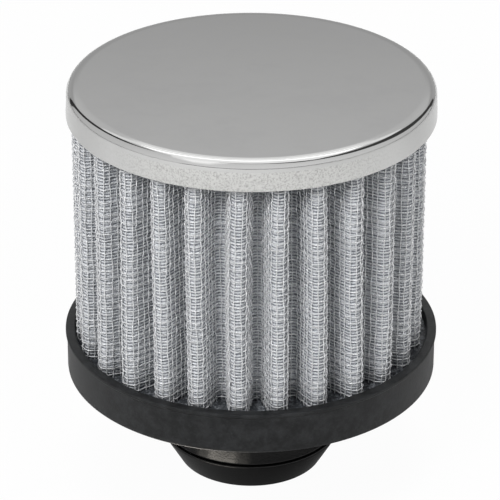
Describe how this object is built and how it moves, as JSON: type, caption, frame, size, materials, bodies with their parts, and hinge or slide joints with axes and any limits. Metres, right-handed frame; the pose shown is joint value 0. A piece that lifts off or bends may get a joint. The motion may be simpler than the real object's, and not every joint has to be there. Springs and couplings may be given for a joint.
{
  "type": "crankcase breather filter",
  "caption": "Push-in crankcase breather filter: chromed cap and rubber base tray around a pleated wire-screened pack, with a tapered snap-ring neck that pushes into a hole",
  "frame": {"origin": "centre of the open end of the neck, on the plane that the filter stands on", "axes": "+Z runs along the filter's axis from the neck's open end to the cap; the picture looks along +Y with +X to the right"},
  "size_m": [0.0762, 0.0762, 0.0845],
  "materials": {
    "chromed_cap": "polished chrome plate on pressed steel",
    "screen_wire": "bright woven wire cloth",
    "medium_gauze": "pale grey layered gauze",
    "potting_compound": "poured black compound, slightly glossy",
    "base_rubber": "matt moulded black rubber"
  },
  "bodies": {
    "root": {"top_cap": "chromed_cap", "cap_potting": "potting_compound", "outer_screen": "screen_wire", "filter_medium": "medium_gauze", "inner_screen": "screen_wire", "base_potting": "potting_compound", "base_moulding": "base_rubber"}
  },
  "joints": []
}
